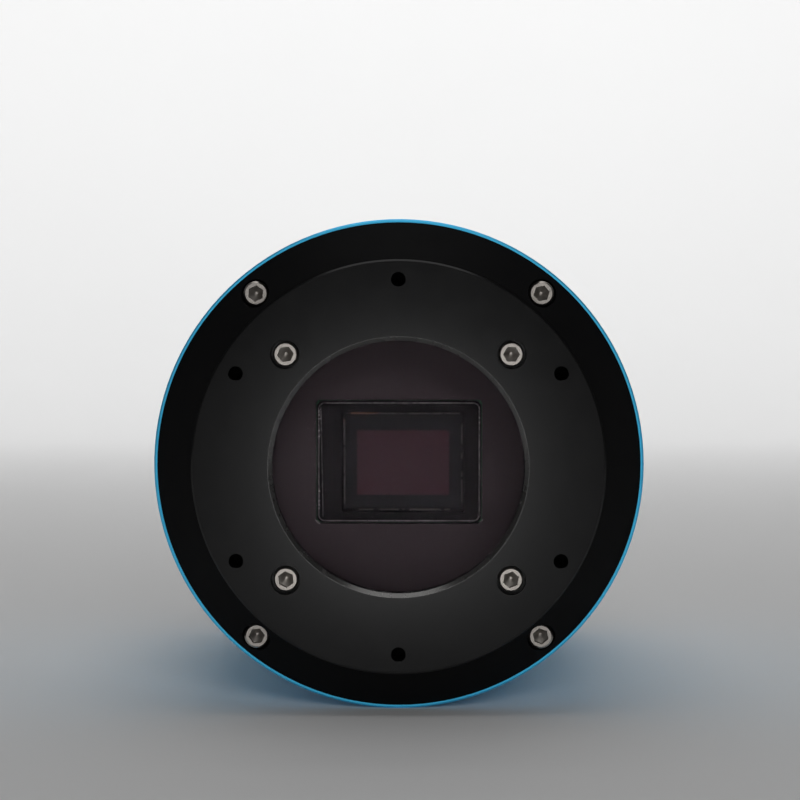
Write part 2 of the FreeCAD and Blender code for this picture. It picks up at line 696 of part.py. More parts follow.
def rear_cover():
    """Thick end plate with the fan opening, the guard's recess and the socket openings."""
    r = LIP_R - COVER_GAP
    body = turned([(0, REAR_LEDGE_Y), (r, REAR_LEDGE_Y), (r, 95.6), (r - 1.9, BACK_Y), (0, BACK_Y)])
    cuts = [rod(DUCT_R + 0.2, 90, 99, 0, FAN_Z), rod(GUARD_R + 0.2, GUARD_Y, 99, 0, FAN_Z)]
    for x, z in corners(FAN_HOLE, FAN_HOLE):
        cuts.append(rod(3.8, GUARD_Y, 99, x, z + FAN_Z))
        cuts.append(rod(2.2, 90, 99, x, z + FAN_Z))
    for x, z in rear_screw_places():
        cuts.append(rod(COUNTERBORE_R, REAR_SCREW_Y - CAP_SIZE, 99, x, z))
        cuts.append(rod(CLEARANCE_R, 90, 99, x, z))
    g = SOCKET_GAP
    z0 = BOARD_TOP_Z - g
    cuts.append(block((POWER_X - 4.5 - g, POWER_X + 4.5 + g), (91, 99), (z0, BOARD_TOP_Z + 11 + g)))
    cuts.append(block((USB3_X - 6.05 - g, USB3_X + 6.05 + g), (91, 99), (z0, BOARD_TOP_Z + 10.5 + g)))
    for x in HUB_XS:
        cuts.append(block((x - 3.05 - g, x + 3.05 + g), (91, 99), (z0, BOARD_TOP_Z + 13.4 + g)))
    cuts.append(rod(LED_R + g, 91, 99, LED_X, LED_Z))
    return body.cut(cuts[0].fuse(cuts[1:])).removeSplitter()


def build():
    """Every node by name."""
    flange_places = corners(FLANGE_SCREW_XZ, FLANGE_SCREW_XZ)
    return {
        "front_flange": front_flange(),
        "flange_screws": cap_screws(flange_places, FLANGE_SCREW_Y, (0, -1, 0), (0, 20, 8, 35)),
        "front_cover": front_cover(),
        "cover_screws": cap_screws(front_screw_places(), COVER_SCREW_Y, (0, -1, 0), (12, 40, 25, 5)),
        "body_shell": body_shell(),
        "flange_seal": ring_seal(26.3, 0.48, 8.9),
        "window_seal": ring_seal(23.9, 0.48, WINDOW_Y - 0.49),
        "window_glass": rod(WINDOW_R, WINDOW_Y, WINDOW_Y + WINDOW_T),
        "window_heater": tube(24.8, 23.9, WINDOW_Y + WINDOW_T, WINDOW_Y + WINDOW_T + HEATER_T),
        "window_retainer": window_retainer(),
        "chamber_housing": chamber_housing(),
        "housing_seal": ring_seal(28.1, 0.43, SINK_Y - 0.46),
        "housing_screws": housing_screws(),
        "sensor_mask": sensor_mask(),
        "mask_spacers": mask_spacers(),
        "sensor_package": sensor_package(),
        "sensor_cover_glass": slab(GLASS_W, GLASS_H, GLASS_Y, PACKAGE_Y, 0.85),
        "sensor_die": slab(DIE_W, DIE_H, SENSOR_Y, SENSOR_Y + 0.5, 0.2, DIE_X),
        "sensor_board": sensor_board(),
        "sensor_board_screws": sensor_board_screws(),
        "sensor_board_connector": sensor_board_connector(),
        "sensor_ribbon": sensor_ribbon(),
        "cold_finger": cold_finger(),
        "temperature_sensor": block((-1, 1), (26, 29), (10, 11.4)),
        "cooler_cold_plate": slab(FINGER_W, FINGER_W, COLD_Y, COLD_END_Y),
        "cooler_upper_pellets": pellets(4, 18, 2.4, COLD_END_Y, MIDDLE_Y),
        "cooler_middle_plate": slab(STAGE_W, STAGE_W, MIDDLE_Y, MIDDLE_END_Y),
        "cooler_lower_pellets": pellets(6, 28, 2.6, MIDDLE_END_Y, HOT_Y),
        "cooler_hot_plate": slab(STAGE_W, STAGE_W, HOT_Y, PAD_Y),
        "cooler_leads": cooler_leads(),
        "insulation_ring": insulation_ring(),
        "desiccant_packs": desiccant_packs(),
        "heat_sink": heat_sink(),
        "main_board": main_board(),
        "board_screws": board_screws(),
        "processor_chip": on_board((-7.5, 7.5), (57, 72), 1.8),
        "memory_chips": Part.makeCompound([on_board((x - 4, x + 4), (60, 71), 1.1) for x in (-14, 14)]),
        "board_connectors": board_connectors(),
        "usb3_socket": usb3_socket(),
        "usb3_tongue": usb3_tongue(),
        "usb_hub_sockets": usb_hub_sockets(),
        "usb_hub_tongues": usb_hub_tongues(),
        "power_socket": power_socket(),
        "power_pin": rod(1.05, 87.5, 96.4, POWER_X, POWER_Z),
        "status_led": status_led(),
        "fan_frame": fan_frame(),
        "fan_stator_core": fan_stator_core(),
        "fan_coils": fan_coils(),
        "fan_bearing": tube(2.9, SHAFT_R + 0.04, 81.0, 89.4, 0, FAN_Z),
        "fan_impeller": fan_impeller(),
        "fan_shaft": rod(SHAFT_R, 77.9, 90.4, 0, FAN_Z),
        "fan_magnet_ring": tube(HUB_R - 1.5, 9.0, 80.4, 87.4, 0, FAN_Z),
        "fan_clip": tube(2.0, SHAFT_R, 89.6, 90.0, 0, FAN_Z),
        "fan_guard": fan_guard(),
        "fan_screws": fan_screws(),
        "fan_lead": fan_lead(),
        "rear_cover": rear_cover(),
        "rear_cover_screws": cap_screws(rear_screw_places(), REAR_SCREW_Y, (0, 1, 0), (10, 30, 0, 45)),
    }


os.makedirs("parts", exist_ok=True)
for name, shape in build().items():
    shape.exportStep("parts/" + name + ".step")
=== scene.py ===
import json
import math
import random

import bmesh
import bpy
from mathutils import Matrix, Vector


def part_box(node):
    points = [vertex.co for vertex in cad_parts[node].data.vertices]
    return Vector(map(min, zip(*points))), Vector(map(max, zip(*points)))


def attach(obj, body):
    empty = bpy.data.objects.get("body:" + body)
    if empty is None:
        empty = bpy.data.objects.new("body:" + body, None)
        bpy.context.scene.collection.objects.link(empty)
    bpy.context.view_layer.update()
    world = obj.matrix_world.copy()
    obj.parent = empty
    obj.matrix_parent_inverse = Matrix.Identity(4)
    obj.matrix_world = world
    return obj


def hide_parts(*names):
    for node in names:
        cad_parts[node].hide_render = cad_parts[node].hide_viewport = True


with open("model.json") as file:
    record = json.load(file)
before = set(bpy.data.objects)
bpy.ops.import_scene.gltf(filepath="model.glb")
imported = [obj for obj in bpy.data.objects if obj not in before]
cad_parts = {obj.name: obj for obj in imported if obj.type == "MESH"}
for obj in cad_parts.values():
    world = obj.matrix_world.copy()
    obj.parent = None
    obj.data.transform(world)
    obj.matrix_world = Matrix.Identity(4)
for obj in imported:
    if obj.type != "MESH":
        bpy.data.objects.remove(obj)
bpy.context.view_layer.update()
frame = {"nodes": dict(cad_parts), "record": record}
NODES = frame["nodes"]
MM = 0.001


# ---------------------------------------------------------------- places, read from the frame

def corner_box(node):
    """Lowest and highest corner of a CAD node."""
    low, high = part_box(node)
    return Vector(low), Vector(high)


FLOOR_Z = corner_box("body_shell")[0].z
GLASS_LOW, GLASS_HIGH = corner_box("sensor_cover_glass")
GLASS_MIDDLE = (GLASS_LOW + GLASS_HIGH) / 2
DIE_LOW, DIE_HIGH = corner_box("sensor_die")
DIE_MIDDLE = (DIE_LOW + DIE_HIGH) / 2


# ---------------------------------------------------------------- camera

VIEW_DISTANCE = 0.300
VIEW_AZIMUTH = math.radians(0.5)
VIEW_ELEVATION = math.radians(4.0)
LENS_MM = 75.4
SENSOR_MM = 36.0
CLIP_START = 0.01
CLIP_END = 20.0
AIM = Vector((0.0003, 0.0, 0.0121))     # a little above the axis, so that the camera sits low in the frame


def add_camera():
    """Camera a little above the optical axis, in front of the flange."""
    data = bpy.data.cameras.new("view_camera")
    data.lens = LENS_MM
    data.sensor_width = SENSOR_MM
    data.clip_start = CLIP_START
    data.clip_end = CLIP_END
    camera = bpy.data.objects.new("view_camera", data)
    away = Vector((
        math.sin(VIEW_AZIMUTH) * math.cos(VIEW_ELEVATION),
        -math.cos(VIEW_AZIMUTH) * math.cos(VIEW_ELEVATION),
        math.sin(VIEW_ELEVATION),
    ))
    camera.location = away * VIEW_DISTANCE
    camera.rotation_euler = (AIM - camera.location).to_track_quat("-Z", "Y").to_euler()
    bpy.context.scene.collection.objects.link(camera)
    bpy.context.scene.camera = camera


add_camera()


# ---------------------------------------------------------------- node helpers

class Nodes:
    """Short calls for building one material's node tree."""

    def __init__(self, name):
        self.material = bpy.data.materials.new(name)
        self.material.use_nodes = True
        self.tree = self.material.node_tree
        self.tree.nodes.clear()
        self.out = self.add("ShaderNodeOutputMaterial")
        self.shader = self.add("ShaderNodeBsdfPrincipled")
        self.link(self.shader.outputs["BSDF"], self.out.inputs["Surface"])
        self.place = self.add("ShaderNodeTexCoord").outputs["Object"]

    def add(self, kind, **settings):
        node = self.tree.nodes.new(kind)
        for key, value in settings.items():
            setattr(node, key, value)
        return node

    def link(self, source, target):
        self.tree.links.new(source, target)

    def put(self, target, value):
        """Links a socket, or sets a constant."""
        if isinstance(value, bpy.types.NodeSocket):
            self.link(value, target)
        else:
            target.default_value = value

    def math(self, operation, a, b=0.0, c=0.0, clamp=False):
        node = self.add("ShaderNodeMath", operation=operation, use_clamp=clamp)
        for socket, value in zip(node.inputs, (a, b, c)):
            self.put(socket, value)
        return node.outputs[0]

    def noise(self, size, detail=3.0, rough=0.55, stretch=None):
        """Noise whose features are about size metres across, from 0 to 1."""
        node = self.add("ShaderNodeTexNoise")
        node.inputs["Scale"].default_value = 1.0 / size
        node.inputs["Detail"].default_value = detail
        node.inputs["Roughness"].default_value = rough
        place = self.place
        if stretch:
            mapping = self.add("ShaderNodeMapping")
            mapping.inputs["Scale"].default_value = stretch
            self.link(place, mapping.inputs["Vector"])
            place = mapping.outputs["Vector"]
        self.link(place, node.inputs["Vector"])
        return node.outputs["Fac"]

    def span(self, value, low, high, from_low=0.0, from_high=1.0):
        """Maps a range of the value to low and high."""
        node = self.add("ShaderNodeMapRange")
        for key, number in (
            ("From Min", from_low), ("From Max", from_high), ("To Min", low), ("To Max", high),
        ):
            node.inputs[key].default_value = number
        self.link(value, node.inputs["Value"])
        return node.outputs["Result"]

    def mix(self, factor, a, b):
        node = self.add("ShaderNodeMix", data_type="RGBA")
        self.put(node.inputs["Factor"], factor)
        self.put(node.inputs["A"], rgba(a) if isinstance(a, tuple) else a)
        self.put(node.inputs["B"], rgba(b) if isinstance(b, tuple) else b)
        return node.outputs["Result"]

    def xyz(self):
        node = self.add("ShaderNodeSeparateXYZ")
        self.link(self.place, node.inputs[0])
        return node.outputs

    def radius(self):
        """Distance from the Y axis."""
        x, _, z = self.xyz()
        squares = self.math("ADD", self.math("MULTIPLY", x, x), self.math("MULTIPLY", z, z))
        return self.math("SQRT", squares)

    def turned(self, pitch):
        """Rings of turning marks round the Y axis, from -1 to 1."""
        return self.math("SINE", self.math("MULTIPLY", self.radius(), 2 * math.pi / pitch))

    def band(self, value, low, high, soft):
        """1 between low and high, with soft edges."""
        up = self.span(value, 0, 1, low - soft, low + soft)
        down = self.span(value, 1, 0, high - soft, high + soft)
        return self.math("MULTIPLY", up, down, clamp=True)

    def bump(self, height, strength, distance):
        node = self.add("ShaderNodeBump")
        node.inputs["Strength"].default_value = strength
        node.inputs["Distance"].default_value = distance
        self.link(height, node.inputs["Height"])
        return node.outputs["Normal"]

    def set(self, **sockets):
        """Sets or links inputs of the shader."""
        for key, value in sockets.items():
            self.put(self.shader.inputs[key.replace("_", " ")], value)


def rgba(colour):
    """The colour with full alpha."""
    return (*colour, 1.0) if len(colour) == 3 else colour


def shade(colour, factor):
    """The colour made lighter or darker."""
    return tuple(min(1.0, c * factor) for c in colour)


def plain_finish(name, colour, rough=(0.4, 0.5), metallic=0.0, tone=0.12, grain=0.0006, bump=0.15,
                 depth=0.00002, stretch=None, **constants):
    """A finish with tone, roughness and surface relief that vary at the grain's size."""
    n = Nodes(name)
    cloud = n.noise(0.012, 3.0)
    fine = n.noise(grain, 4.0, 0.6, stretch)
    blend = n.math("MULTIPLY_ADD", cloud, 0.5, n.math("MULTIPLY", fine, 0.5))
    n.set(Base_Color=n.mix(blend, shade(colour, 1 - tone), shade(colour, 1 + tone)))
    n.set(Roughness=n.span(cloud, rough[0], rough[1], 0.3, 0.7), Metallic=metallic)
    n.set(Normal=n.bump(fine, bump, depth))
    n.set(**constants)
    return n.material


# ---------------------------------------------------------------- materials

FLANGE_ROUGH = 0.235
FLANGE_MARKS = 0.00022      # pitch of the turning marks
COVER_MARKS = 0.00025
CHAMFER_ROUGH = 0.27
CHAMFER_R = (22.68 * MM, 23.43 * MM)
CHAMFER_Y = (-1 * MM, 0.74 * MM)
CHAMFER_METAL = 0.95
BLAST = 0.00016             # size of the bead-blasted grain
COATED_IOR = 1.03           # glass whose coatings take most of its reflection away
ACTIVE_HALF_W = 8.7 * MM
ACTIVE_HALF_H = 6.1 * MM
ACTIVE_LOW_BY = 0.26 * MM   # the active area is a little below the middle of the die
ACTIVE_EDGE = 0.03 * MM


def black_anodised():
    """Bead-blasted black anodising, for the parts away from the front."""
    n = Nodes("black_anodised")
    cloud = n.noise(0.015, 3.0)
    blast = n.noise(BLAST, 2.0, 0.5)
    n.set(Base_Color=n.mix(cloud, (0.0075, 0.0075, 0.0080), (0.0105, 0.0103, 0.0107)))
    n.set(Roughness=n.span(n.noise(0.004, 5.0, 0.65), 0.40, 0.50, 0.3, 0.7))
    n.set(Normal=n.bump(blast, 0.25, 0.00001), Specular_IOR_Level=0.30)
    return n.material


def black_cover():
    """Very matt black of the bevelled ring, with faint turning marks."""
    n = Nodes("black_cover")
    cloud = n.noise(0.012, 3.0)
    marks = n.turned(COVER_MARKS)
    blast = n.noise(BLAST, 2.0, 0.5)
    n.set(Base_Color=n.mix(cloud, (0.0050, 0.0050, 0.0053), (0.0074, 0.0073, 0.0076)))
    n.set(Roughness=n.span(n.noise(0.004, 5.0, 0.65), 0.46, 0.56, 0.3, 0.7))
    n.set(Normal=n.bump(n.math("MULTIPLY_ADD", marks, 0.3, blast), 0.2, 0.00001))
    n.set(Specular_IOR_Level=0.03)
    return n.material


def black_flange():
    """Turned satin black, with a bright-cut chamfer round the opening."""
    n = Nodes("black_flange")
    cloud = n.noise(0.015, 3.0)
    blast = n.noise(BLAST, 2.0, 0.5)
    marks = n.turned(FLANGE_MARKS)
    base = n.mix(cloud, (0.0034, 0.0034, 0.0036), (0.0048, 0.0047, 0.0049))
    rough = n.span(n.noise(0.004, 5.0, 0.65), FLANGE_ROUGH - 0.02, FLANGE_ROUGH + 0.02, 0.3, 0.7)
    in_radius = n.band(n.radius(), *CHAMFER_R, 0.02 * MM)
    in_depth = n.band(n.xyz()[1], *CHAMFER_Y, 0.03 * MM)
    cut = n.math("MULTIPLY", in_radius, in_depth, clamp=True)
    n.set(Base_Color=n.mix(cut, base, (0.17, 0.168, 0.165)))
    n.set(Metallic=n.math("MULTIPLY", cut, CHAMFER_METAL))
    n.set(Roughness=n.math("MULTIPLY_ADD", cut, CHAMFER_ROUGH - FLANGE_ROUGH, rough))
    n.set(Normal=n.bump(n.math("MULTIPLY_ADD", marks, 0.35, blast), 0.12, 0.00001))
    n.set(Specular_IOR_Level=0.225)
    return n.material


def blue_anodised():
    """Satin sky-blue anodising over fine turning marks round the tube."""
    n = Nodes("blue_anodised")
    cloud = n.noise(0.02, 2.0)
    marks = n.noise(0.0006, 4.0, 0.6, (0.06, 1.0, 0.06))
    n.set(Base_Color=n.mix(cloud, (0.045, 0.56, 1.0), (0.06, 0.64, 1.0)))
    n.set(Roughness=n.span(marks, 0.34, 0.46, 0.3, 0.7), Metallic=0.5)
    n.set(Normal=n.bump(marks, 0.12, 0.00001))
    n.shader.inputs["Coat Weight"].default_value = 0.25
    n.shader.inputs["Coat Roughness"].default_value = 0.2
    return n.material


def window_glass():
    """Coated window, with a faint magenta in what it reflects."""
    n = Nodes("window_glass")
    smear = n.noise(0.008, 3.0)
    n.set(Base_Color=(0.98, 0.95, 0.98, 1), Roughness=n.span(smear, 0.0, 0.02, 0.3, 0.7))
    n.shader.inputs["Transmission Weight"].default_value = 1.0
    n.shader.inputs["IOR"].default_value = COATED_IOR
    n.shader.inputs["Specular Tint"].default_value = (1.0, 0.70, 0.88, 1)
    return n.material


def sensor_die():
    """Dark border, and the reddish-brown active area that stands off the die's edges."""
    n = Nodes("sensor_die")
    x, _, z = n.xyz()
    middle_z = DIE_MIDDLE.z - ACTIVE_LOW_BY
    across = n.band(x, DIE_MIDDLE.x - ACTIVE_HALF_W, DIE_MIDDLE.x + ACTIVE_HALF_W, ACTIVE_EDGE)
    along = n.band(z, middle_z - ACTIVE_HALF_H, middle_z + ACTIVE_HALF_H, ACTIVE_EDGE)
    active = n.math("MULTIPLY", across, along, clamp=True)
    cloud = n.noise(0.012, 2.0)
    array = n.mix(cloud, (0.040, 0.008, 0.014), (0.050, 0.012, 0.019))
    n.set(Base_Color=n.mix(active, (0.005, 0.005, 0.0058), array))
    n.set(Roughness=n.span(active, 0.35, 0.28))
    fine = n.noise(0.0001, 2.0)
    n.set(Normal=n.bump(fine, 0.02, 0.000002), Specular_IOR_Level=0.08)
    return n.material


def screw_steel():
    """Plain stainless steel, a little warm, with fine turning marks."""
    n = Nodes("screw_steel")
    cloud = n.noise(0.0012, 4.0, 0.6)
    fine = n.noise(0.00012, 3.0, 0.6)
    n.set(Base_Color=n.mix(cloud, (0.34, 0.315, 0.29), (0.46, 0.43, 0.395)))
    n.set(Roughness=n.span(cloud, 0.30, 0.46, 0.3, 0.7), Metallic=1.0)
    n.set(Normal=n.bump(fine, 0.25, 0.00001))
    return n.material


def circuit_board():
    """Green solder resist with faint tracks under it."""
    n = Nodes("circuit_board")
    tracks = n.add("ShaderNodeTexBrick")
    tracks.inputs["Scale"].default_value = 260.0
    tracks.inputs["Mortar Size"].default_value = 0.03
    swap = n.add("ShaderNodeCombineXYZ")
    x, y, z = n.xyz()
    n.link(x, swap.inputs[0])
    n.link(n.math("ADD", y, z), swap.inputs[1])
    n.link(swap.outputs[0], tracks.inputs["Vector"])
    line = tracks.outputs["Fac"]
    n.set(Base_Color=n.mix(line, (0.006, 0.055, 0.022), (0.02, 0.12, 0.05)))
    n.set(Roughness=n.span(n.noise(0.005), 0.28, 0.4, 0.3, 0.7), Normal=n.bump(line, 0.3, 0.00003))
    return n.material


def cover_glass():
    """Clear coated glass, with a trace of smear."""
    n = Nodes("cover_glass")
    smear = n.noise(0.006, 3.0)
    n.set(Base_Color=(0.97, 0.97, 0.98, 1), Roughness=n.span(smear, 0.0, 0.03, 0.3, 0.7))
    n.shader.inputs["Transmission Weight"].default_value = 1.0
    n.shader.inputs["IOR"].default_value = COATED_IOR
    return n.material


def ground_edge():
    """Ground glass edge in dark grey, with small bright spots at random painted in as glints, the same on
    every side.
    """
    n = Nodes("ground_edge")
    # painted glints: random bright spots in the edge's colour stand in for light caught by chips
    chips = n.span(n.noise(0.0005, 2.0, 0.6), 0.15, 1.0, 0.40, 0.64)
    n.set(Base_Color=n.mix(chips, (0.02, 0.02, 0.02), (0.40, 0.39, 0.375)))
    n.set(Roughness=n.span(chips, 0.35, 0.6))
    return n.material


def bond_wire():
    """Fine wire, gold at one end of the top row and greyer elsewhere."""
    n = Nodes("bond_wire")
    x, _, z = n.xyz()
    at_left = n.span(x, 1, 0, -5 * MM, -3 * MM)
    at_top = n.span(z, 0, 1, 7 * MM, 9 * MM)
    warm = n.math("MULTIPLY", at_left, at_top, clamp=True)
    cloud = n.noise(0.0015, 2.0)
    grey = n.mix(cloud, (0.08, 0.075, 0.07), (0.20, 0.19, 0.17))
    n.set(Base_Color=n.mix(warm, grey, (0.30, 0.15, 0.09)))
    n.set(Roughness=n.span(cloud, 0.35, 0.5), Metallic=0.3)
    return n.material


MATERIALS = {
    "black_anodised": black_anodised(),
    "black_cover": black_cover(),
    "black_flange": black_flange(),
    "blue_anodised": blue_anodised(),
    "screw_steel": screw_steel(),
    "black_steel": plain_finish("black_steel", (0.02, 0.02, 0.021), (0.3, 0.42), 0.6, grain=0.0003),
    "seal_rubber": plain_finish("seal_rubber", (0.012, 0.012, 0.012), (0.5, 0.65)),
    "window_glass": window_glass(),
    "heater_film": plain_finish("heater_film", (0.42, 0.16, 0.04), (0.25, 0.35)),
    "retainer_black": plain_finish("retainer_black", (0.008, 0.008, 0.008), (0.45, 0.55)),
    "mask_black": plain_finish("mask_black", (0.072, 0.060, 0.063), (0.6, 0.7),
                               grain=0.00025, tone=0.1, Specular_IOR_Level=0.1),
    "ceramic_dark": plain_finish("ceramic_dark", (0.012, 0.0117, 0.0125), (0.5, 0.6),
                                 grain=0.0002, Specular_IOR_Level=0.08),
    "silicon": sensor_die(),
    "spacer_brass": plain_finish("spacer_brass", (0.75, 0.55, 0.25), (0.25, 0.4), 1.0),
    "board_green": circuit_board(),
    "connector_black": plain_finish("connector_black", (0.014, 0.014, 0.015), (0.42, 0.55), grain=0.0003),
    "chip_black": plain_finish("chip_black", (0.012, 0.012, 0.012), (0.5, 0.65), grain=0.0002),
    "ribbon_film": plain_finish("ribbon_film", (0.40, 0.17, 0.04), (0.25, 0.35)),
    "copper": plain_finish("copper", (0.80, 0.38, 0.22), (0.25, 0.4), 1.0),
    "cooler_ceramic": plain_finish("cooler_ceramic", (0.80, 0.79, 0.76), (0.5, 0.6)),
    "pellet": plain_finish("pellet", (0.45, 0.45, 0.47), (0.3, 0.4), 1.0),
    "lead_red": plain_finish("lead_red", (0.45, 0.02, 0.015), (0.4, 0.5)),
    "lead_black": plain_finish("lead_black", (0.014, 0.014, 0.014), (0.4, 0.5)),
    "foam": plain_finish("foam", (0.03, 0.03, 0.033), (0.85, 0.95),
                         grain=0.0007, bump=0.6, depth=0.0002),
    "desiccant": plain_finish("desiccant", (0.78, 0.78, 0.75), (0.8, 0.9),
                              grain=0.0005, bump=0.4, depth=0.0001),
    "sink_aluminium": plain_finish("sink_aluminium", (0.74, 0.75, 0.76), (0.28, 0.42), 1.0,
                                   grain=0.0004, stretch=(1.0, 0.08, 1.0)),
    "socket_steel": plain_finish("socket_steel", (0.72, 0.71, 0.69), (0.2, 0.32), 1.0, grain=0.0003),
    "tongue_blue": plain_finish("tongue_blue", (0.01, 0.10, 0.55), (0.3, 0.4)),
    "tongue_black": plain_finish("tongue_black", (0.014, 0.014, 0.014), (0.3, 0.4)),
    "pin_metal": plain_finish("pin_metal", (0.75, 0.73, 0.70), (0.15, 0.25), 1.0),
    "led_clear": plain_finish("led_clear", (0.75, 0.82, 0.78), (0.15, 0.25)),
    "core_steel": plain_finish("core_steel", (0.35, 0.35, 0.36), (0.35, 0.5), 1.0),
    "cover_glass": cover_glass(),
    "ground_edge": ground_edge(),
    "bond_wire": bond_wire(),
    "chip_glint": plain_finish("chip_glint", (0.90, 0.89, 0.86), (0.22, 0.34), 0.9, grain=0.0002, tone=0.1),
}


NODE_FINISH = {"front_flange": "black_flange", "front_cover": "black_cover"}


def paint_nodes():
    """Gives every CAD node the finish of its record slot, or its own."""
    for part in frame["record"]["subparts"]:
        node = part["node"]
        finish = NODE_FINISH.get(node, part["material_slot"])
        mesh = NODES[node].data
        mesh.materials.clear()
        mesh.materials.append(MATERIALS[finish])


paint_nodes()


# ---------------------------------------------------------------- pieces of the sensor

def add_piece(name, mesh, slot, *finishes):
    """Puts a made mesh on the camera body, with its finishes."""
    for finish in finishes:
        mesh.materials.append(MATERIALS[finish])
    piece = bpy.data.objects.new(name, mesh)
    bpy.context.scene.collection.objects.link(piece)
    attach(piece, "camera")
    return piece


def rounded_rectangle(centre, half_w, half_h, corner, steps=8):
    """Points of a rounded rectangle in the X-Z plane, counter-clockwise from the right."""
    points = []
    for i, (sx, sz) in enumerate(((1, 1), (-1, 1), (-1, -1), (1, -1))):
        for k in range(steps + 1):
            angle = math.radians(90 * i + 90 * k / steps)
            points.append((
                centre.x + sx * (half_w - corner) + corner * math.cos(angle),
                centre.z + sz * (half_h - corner) + corner * math.sin(angle),
            ))
    return points


GLASS_CORNER_R = 1.25 * MM
GLASS_BEVEL_IN = 0.24 * MM
GLASS_BEVEL_BACK = 0.16 * MM
PACKAGE_GAP = 0.03 * MM     # keeps the glass clear of the package, so that the two faces do not coincide


def add_cover_glass():
    """Thin plate with round corners, and a bevelled and ground edge."""
    half_w = (GLASS_HIGH.x - GLASS_LOW.x) / 2
    half_h = (GLASS_HIGH.z - GLASS_LOW.z) / 2
    front = GLASS_LOW.y
    rings = [(GLASS_BEVEL_IN, front), (0.0, front + GLASS_BEVEL_BACK), (0.0, GLASS_HIGH.y - PACKAGE_GAP)]
    mesh = bpy.data.meshes.new("cover_glass_plate")
    bm = bmesh.new()
    loops = []
    for inset, y in rings:
        outline = rounded_rectangle(GLASS_MIDDLE, half_w - inset, half_h - inset, GLASS_CORNER_R - inset)
        loops.append([bm.verts.new((x, y, z)) for x, z in outline])
    count = len(loops[0])
    for near, far in zip(loops, loops[1:]):
        for i in range(count):
            face = bm.faces.new((near[i], near[(i + 1) % count], far[(i + 1) % count], far[i]))
            face.material_index = 1
    bm.faces.new(loops[0])
    bm.faces.new(list(reversed(loops[-1])))
    bmesh.ops.recalc_face_normals(bm, faces=bm.faces)
    bm.to_mesh(mesh)
    bm.free()
    plate = add_piece("cover_glass_plate", mesh, "cover_glass", "cover_glass", "ground_edge")
    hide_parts("sensor_cover_glass")


CHIP_SEED = 7
CHIP_Y = GLASS_LOW.y - 0.07 * MM
CHIP_HALF_T = 0.06 * MM     # half of a chip's thickness
RIDGE_H = 0.05 * MM         # how far the line and the slivers stand up in the middle
CHIP_LOW_Z = GLASS_MIDDLE.z - 9.8 * MM

# Chips down the two sides: place of the row and where it starts, then in mm the ranges of a chip's wander,
# half width and half height, and the gaps to choose from.
CHIP_ROWS = (
    (GLASS_LOW.x + 0.15 * MM, GLASS_MIDDLE.z + 9.6 * MM, (-0.02, 0.06), (0.09, 0.19), (0.08, 0.17),
     (0.62, 0.75, 1.1, 1.5, 2.2)),
    (GLASS_HIGH.x - 0.13 * MM, GLASS_MIDDLE.z + 9.8 * MM, (-0.03, 0.05), (0.07, 0.13), (0.08, 0.15),
     (0.6, 0.9, 1.6, 2.4)),
)


def add_edge_chips():
    """Small bright chips along the glass edge, the thin line inside its left side, and two slivers."""
    rng = random.Random(CHIP_SEED)
    mesh = bpy.data.meshes.new("glass_edge_chips")
    bm = bmesh.new()

    def chip(x, z, wide, high):
        for vert in bmesh.ops.create_icosphere(bm, subdivisions=1, radius=1.0)["verts"]:
            jitter = 1 + rng.uniform(-0.25, 0.25)
            unit = vert.co.copy()
            vert.co = Vector((
                x + unit.x * wide * jitter, CHIP_Y + unit.y * CHIP_HALF_T, z + unit.z * high * jitter,
            ))

    def sliver(x, z, length, width, turn):
        """Low pyramid over a long rhombus."""
        along = Vector((math.cos(turn), 0, math.sin(turn))) * length / 2
        across = Vector((-math.sin(turn), 0, math.cos(turn))) * width / 2
        middle = Vector((x, CHIP_Y, z))
        tips = [middle - along, middle + across * 0.8, middle + along, middle - across]
        top = bm.verts.new(middle - Vector((0, RIDGE_H, 0)))
        base = [bm.verts.new(tip) for tip in tips]
        for i in range(4):
            bm.faces.new((base[i], base[(i + 1) % 4], top)).material_index = 1
        bm.faces.new(list(reversed(base))).material_index = 1

    def line(x_top, x_foot, half_length, width):
        """Even thin prism down the plate, leaning from one end to the other."""
        ends = []
        for x, z in ((x_top, GLASS_MIDDLE.z + half_length), (x_foot, GLASS_MIDDLE.z - half_length)):
            ends.append([
                bm.verts.new((x - width / 2, CHIP_Y, z)), bm.verts.new((x, CHIP_Y - RIDGE_H, z)),
                bm.verts.new((x + width / 2, CHIP_Y, z)),
            ])
        for i in range(3):
            j = (i + 1) % 3
            bm.faces.new((ends[0][i], ends[0][j], ends[1][j], ends[1][i])).material_index = 1
        bm.faces.new(ends[0]).material_index = 1
        bm.faces.new(list(reversed(ends[1]))).material_index = 1

    for row_x, z, wander, wide, high, gaps in CHIP_ROWS:
        while z > CHIP_LOW_Z:
            chip(row_x + rng.uniform(*wander) * MM, z, rng.uniform(*wide) * MM, rng.uniform(*high) * MM)
            z -= rng.choice(gaps) * MM
    # flatter chips along the bottom
    x = GLASS_MIDDLE.x - 13 * MM
    while x < GLASS_MIDDLE.x + 9 * MM:
        chip(x, GLASS_LOW.z + 0.13 * MM, rng.uniform(0.09, 0.25) * MM, rng.uniform(0.05, 0.09) * MM)
        x += rng.choice((0.7, 1.1, 1.9)) * MM
    line(GLASS_LOW.x + 0.52 * MM, GLASS_LOW.x + 0.92 * MM, 10.3 * MM, 0.17 * MM)
    sliver(GLASS_LOW.x - 0.1 * MM, GLASS_LOW.z - 0.1 * MM, 1.5 * MM, 0.45 * MM, math.radians(-42))
    sliver(GLASS_HIGH.x + 0.1 * MM, GLASS_LOW.z - 0.15 * MM, 1.7 * MM, 0.45 * MM, math.radians(48))
    bmesh.ops.recalc_face_normals(bm, faces=bm.faces)
    bm.to_mesh(mesh)
    bm.free()
    add_piece("glass_edge_chips", mesh, "cover_glass", "chip_glint", "ground_edge")


